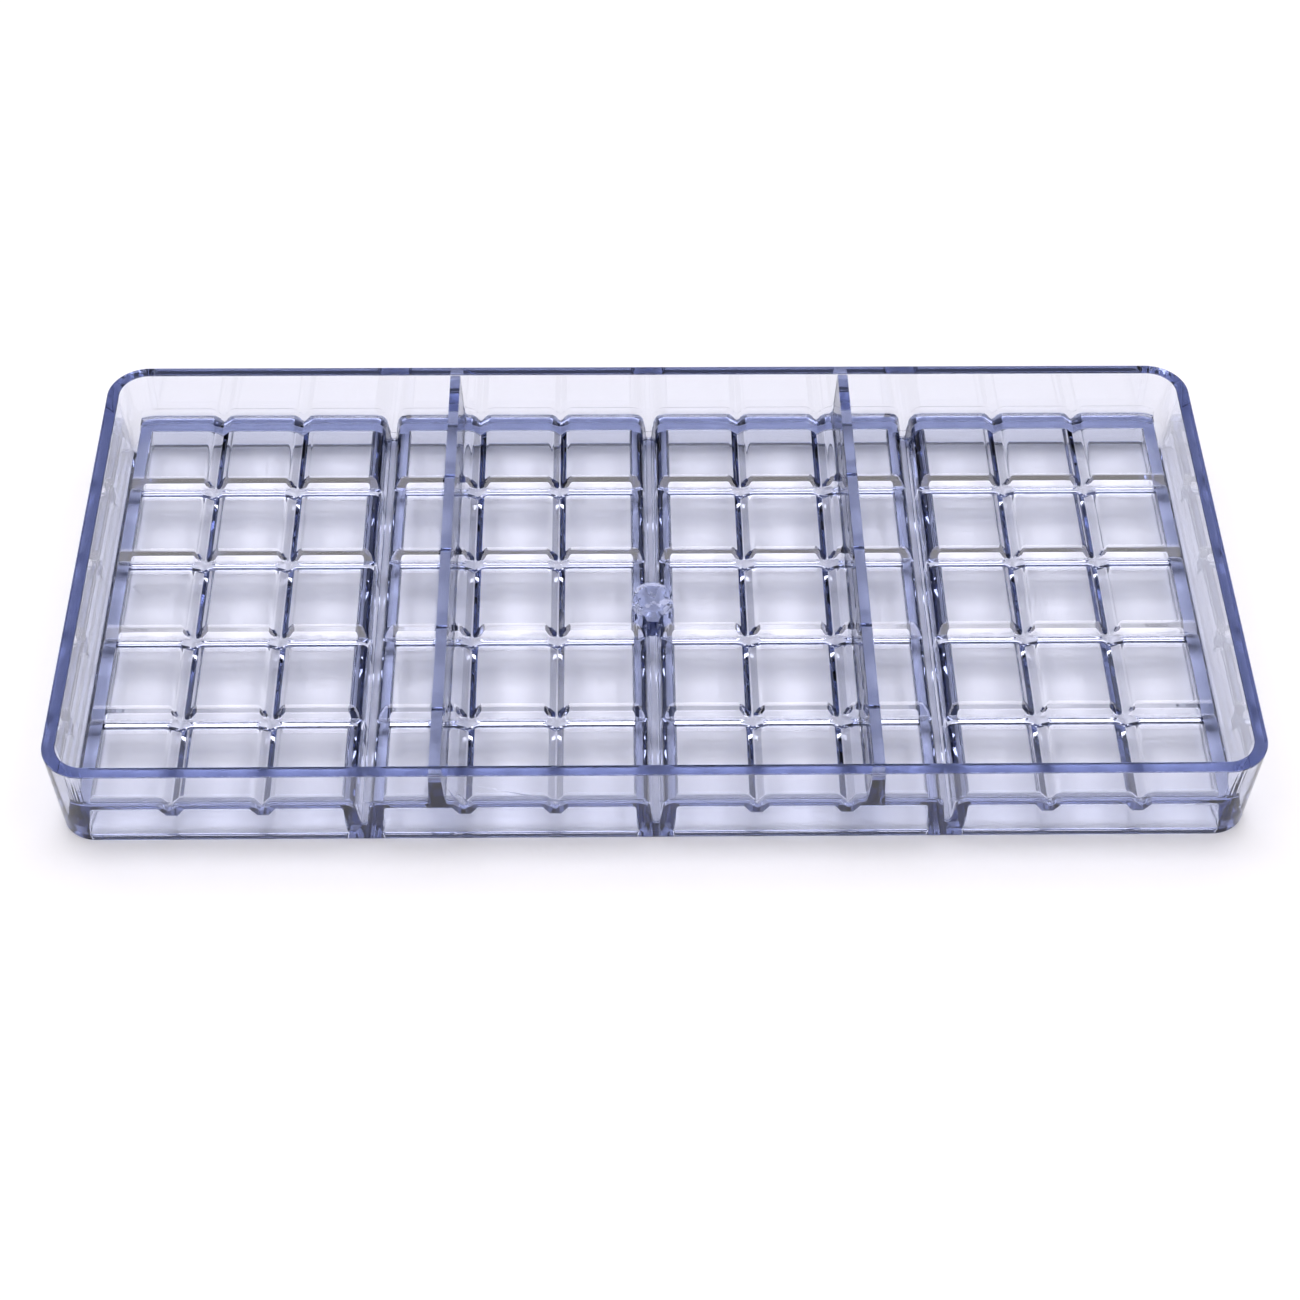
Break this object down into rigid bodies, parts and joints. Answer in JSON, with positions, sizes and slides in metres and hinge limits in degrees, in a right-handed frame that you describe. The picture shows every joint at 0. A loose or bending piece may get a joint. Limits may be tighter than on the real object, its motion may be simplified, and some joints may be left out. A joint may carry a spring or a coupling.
{
  "type": "snap bar mould",
  "caption": "Clear rigid tray mould with oblong bar cavities divided into snap-apart squares, a surrounding skirt wall, cross ribs and a sheared gate.",
  "frame": {"origin": "middle of the flat fill face, which lies on the table", "axes": "+X along the length, to the right; +Y across the width, to the back; +Z from the fill face up to the rim of the skirt"},
  "size_m": [0.275, 0.135, 0.024],
  "materials": {
    "clear_polycarbonate": "water-clear polycarbonate with a faint blue tint, polished",
    "sheared_polycarbonate": "the same polycarbonate, cloudy and torn where the sprue was cut off"
  },
  "bodies": {
    "root": {"fill_deck": "clear_polycarbonate", "bar_outer_left": "clear_polycarbonate", "bar_inner_left": "clear_polycarbonate", "bar_inner_right": "clear_polycarbonate", "bar_outer_right": "clear_polycarbonate", "front_wall": "clear_polycarbonate", "back_wall": "clear_polycarbonate", "left_end_wall": "clear_polycarbonate", "right_end_wall": "clear_polycarbonate", "rib_left": "clear_polycarbonate", "rib_right": "clear_polycarbonate", "gate_stub": "sheared_polycarbonate"}
  },
  "joints": []
}
